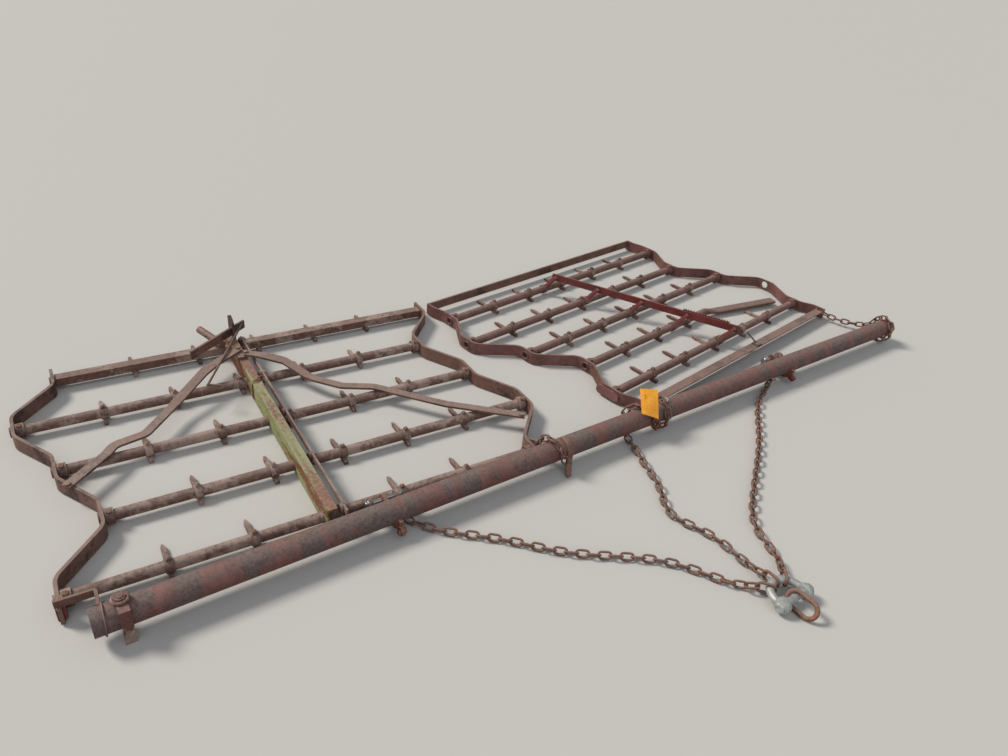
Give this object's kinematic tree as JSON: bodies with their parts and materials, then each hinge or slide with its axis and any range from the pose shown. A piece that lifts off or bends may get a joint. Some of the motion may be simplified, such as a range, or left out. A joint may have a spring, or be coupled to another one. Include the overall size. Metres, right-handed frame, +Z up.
{
  "type": "drag harrow",
  "caption": "two spike-tooth harrow sections behind a pipe drawbar with a chain bridle; each section's tooth bars are tied by a link bar and turn together, and each section lifts at the drawbar",
  "frame": {"origin": "middle of the footprint on the ground", "axes": "+X along the drawbar to the right, +Y to the rear, +Z up"},
  "size_m": [3.4632, 2.2098, 0.1651],
  "materials": {
    "drawbar_paint": "old dark red paint, rubbed to grey steel and rust",
    "chain_rust": "dark rust",
    "weathered_zinc": "dull grey zinc coat",
    "strap_rust": "brown rust, pale nut and washer",
    "lever_rust": "dark rust with old red paint",
    "clip_red": "red paint with rust",
    "link_rust": "brown rust",
    "clevis_rust": "light rust",
    "lug_rust": "red rust",
    "green_over_rust": "faded green and yellow paint over rust",
    "left_rail_rust": "dark brown rust",
    "left_bar_rust": "brown rust and dry soil",
    "left_tooth_rust": "rust worn by soil",
    "left_link_rust": "light rust",
    "left_fitting_rust": "dark rust with old red paint",
    "right_rail_mauve": "faded mauve red paint",
    "right_end_bar_rust": "grey tan rust",
    "right_bar_rust": "mauve brown rust",
    "right_tooth_rust": "rust worn by soil",
    "bright_red_paint": "bright red paint with chips"
  },
  "bodies": {
    "left_bar_1": {"left_teeth_1": "left_tooth_rust", "left_tooth_bar_1": "left_bar_rust"},
    "right_bar_1": {"right_teeth_1": "right_tooth_rust", "right_tooth_bar_1": "right_bar_rust"},
    "left_bar_2": {"left_teeth_2": "left_tooth_rust", "left_tooth_bar_2": "left_bar_rust"},
    "right_bar_2": {"right_teeth_2": "right_tooth_rust", "right_tooth_bar_2": "right_bar_rust"},
    "left_bar_3": {"left_teeth_3": "left_tooth_rust", "left_tooth_bar_3": "left_bar_rust"},
    "right_bar_3": {"right_teeth_3": "right_tooth_rust", "right_tooth_bar_3": "right_bar_rust"},
    "left_bar_4": {"left_teeth_4": "left_tooth_rust", "left_tooth_bar_4": "left_bar_rust"},
    "right_bar_4": {"right_teeth_4": "right_tooth_rust", "right_tooth_bar_4": "right_bar_rust"},
    "left_bar_5": {"left_teeth_5": "left_tooth_rust", "left_tooth_bar_5": "left_bar_rust"},
    "right_bar_5": {"right_teeth_5": "right_tooth_rust", "right_tooth_bar_5": "right_bar_rust"},
    "left_link": {"left_link_bar": "left_link_rust"},
    "right_link": {"right_link_bar": "bright_red_paint"},
    "left_section": {"left_brace_pad": "left_rail_rust", "left_carrier_angle": "green_over_rust", "left_inner_brace": "left_fitting_rust", "left_inner_rail": "left_rail_rust", "left_inner_tie_eye": "left_fitting_rust", "left_lever": "lever_rust", "left_outer_brace": "left_fitting_rust", "left_outer_clip": "clip_red", "left_outer_rail": "left_rail_rust"},
    "right_section": {"right_anchor": "right_end_bar_rust", "right_front_angle": "right_end_bar_rust", "right_inner_rail": "right_rail_mauve", "right_outer_rail": "right_rail_mauve", "right_rear_bar": "right_end_bar_rust"},
    "drawbar": {"drawbar_pipe": "drawbar_paint", "hitch_connectors": "link_rust", "hitch_link": "link_rust", "hitch_shackle": "weathered_zinc", "left_bridle_chain": "chain_rust", "left_draft_clevis": "clevis_rust", "left_draft_lug": "lug_rust", "left_end_strap": "strap_rust", "left_inner_tie_chain": "chain_rust", "left_outer_wire_loop": "left_fitting_rust", "middle_bridle_chain": "chain_rust", "right_bridle_chain": "chain_rust", "right_draft_clevis": "clevis_rust", "right_draft_lug": "lug_rust", "right_inner_tie_chain": "chain_rust", "right_outer_tie_chain": "chain_rust"}
  },
  "joints": [
    {"name": "left_section_lift", "type": "hinge", "parent": "drawbar", "child": "left_section", "pos_m": [-0.96644, -0.15692, 0.06613], "axis": [1, 0, 0], "range_deg": [0, 35]},
    {"name": "right_section_lift", "type": "hinge", "parent": "drawbar", "child": "right_section", "pos_m": [0.92922, -0.04118, 0.03513], "axis": [0.9898, 0.1426, 0], "range_deg": [0, 35]},
    {"name": "left_bar_1_turn", "type": "hinge", "parent": "left_section", "child": "left_bar_1", "pos_m": [-1.01137, -0.10241, 0.03013], "axis": [-0.9984, 0.0558, 0], "range_deg": [0, 60]},
    {"name": "left_bar_2_turn", "type": "hinge", "parent": "left_section", "child": "left_bar_2", "pos_m": [-0.86206, 0.14965, 0.03013], "axis": [-0.9984, 0.0558, 0], "range_deg": [0, 60]},
    {"name": "left_bar_3_turn", "type": "hinge", "parent": "left_section", "child": "left_bar_3", "pos_m": [-0.93741, 0.41427, 0.03013], "axis": [-0.9984, 0.0558, 0], "range_deg": [0, 60]},
    {"name": "left_bar_4_turn", "type": "hinge", "parent": "left_section", "child": "left_bar_4", "pos_m": [-1.01275, 0.67889, 0.03013], "axis": [-0.9984, 0.0558, 0], "range_deg": [0, 60]},
    {"name": "left_bar_5_turn", "type": "hinge", "parent": "left_section", "child": "left_bar_5", "pos_m": [-0.86345, 0.93095, 0.03013], "axis": [-0.9984, 0.0558, 0], "range_deg": [0, 60]},
    {"name": "left_link_pivot", "type": "hinge", "parent": "left_bar_1", "child": "left_link", "pos_m": [-0.98566, -0.12638, 0.0691], "axis": [-0.9984, 0.0558, 0], "range_deg": [-60, 0]},
    {"name": "right_bar_1_turn", "type": "hinge", "parent": "right_section", "child": "right_bar_1", "pos_m": [0.88182, 0.09849, 0.03013], "axis": [-0.9898, -0.1426, 0], "range_deg": [0, 75]},
    {"name": "right_bar_2_turn", "type": "hinge", "parent": "right_section", "child": "right_bar_2", "pos_m": [0.92569, 0.30587, 0.03013], "axis": [-0.9898, -0.1426, 0], "range_deg": [0, 75]},
    {"name": "right_bar_3_turn", "type": "hinge", "parent": "right_section", "child": "right_bar_3", "pos_m": [0.7528, 0.48201, 0.03013], "axis": [-0.9898, -0.1426, 0], "range_deg": [0, 75]},
    {"name": "right_bar_4_turn", "type": "hinge", "parent": "right_section", "child": "right_bar_4", "pos_m": [0.57991, 0.65815, 0.03013], "axis": [-0.9898, -0.1426, 0], "range_deg": [0, 75]},
    {"name": "right_bar_5_turn", "type": "hinge", "parent": "right_section", "child": "right_bar_5", "pos_m": [0.62378, 0.86553, 0.03013], "axis": [-0.9898, -0.1426, 0], "range_deg": [0, 75]},
    {"name": "right_link_pivot", "type": "hinge", "parent": "right_bar_1", "child": "right_link", "pos_m": [0.96914, 0.07092, 0.09374], "axis": [-0.9898, -0.1426, 0], "range_deg": [-75, 0]}
  ],
  "couplings": [
    {"joint": "left_bar_2_turn", "follows": "left_bar_1_turn", "ratio": 1},
    {"joint": "left_bar_3_turn", "follows": "left_bar_1_turn", "ratio": 1},
    {"joint": "left_bar_4_turn", "follows": "left_bar_1_turn", "ratio": 1},
    {"joint": "left_bar_5_turn", "follows": "left_bar_1_turn", "ratio": 1},
    {"joint": "left_link_pivot", "follows": "left_bar_1_turn", "ratio": -1},
    {"joint": "right_bar_2_turn", "follows": "right_bar_1_turn", "ratio": 1},
    {"joint": "right_bar_3_turn", "follows": "right_bar_1_turn", "ratio": 1},
    {"joint": "right_bar_4_turn", "follows": "right_bar_1_turn", "ratio": 1},
    {"joint": "right_bar_5_turn", "follows": "right_bar_1_turn", "ratio": 1},
    {"joint": "right_link_pivot", "follows": "right_bar_1_turn", "ratio": -1}
  ]
}
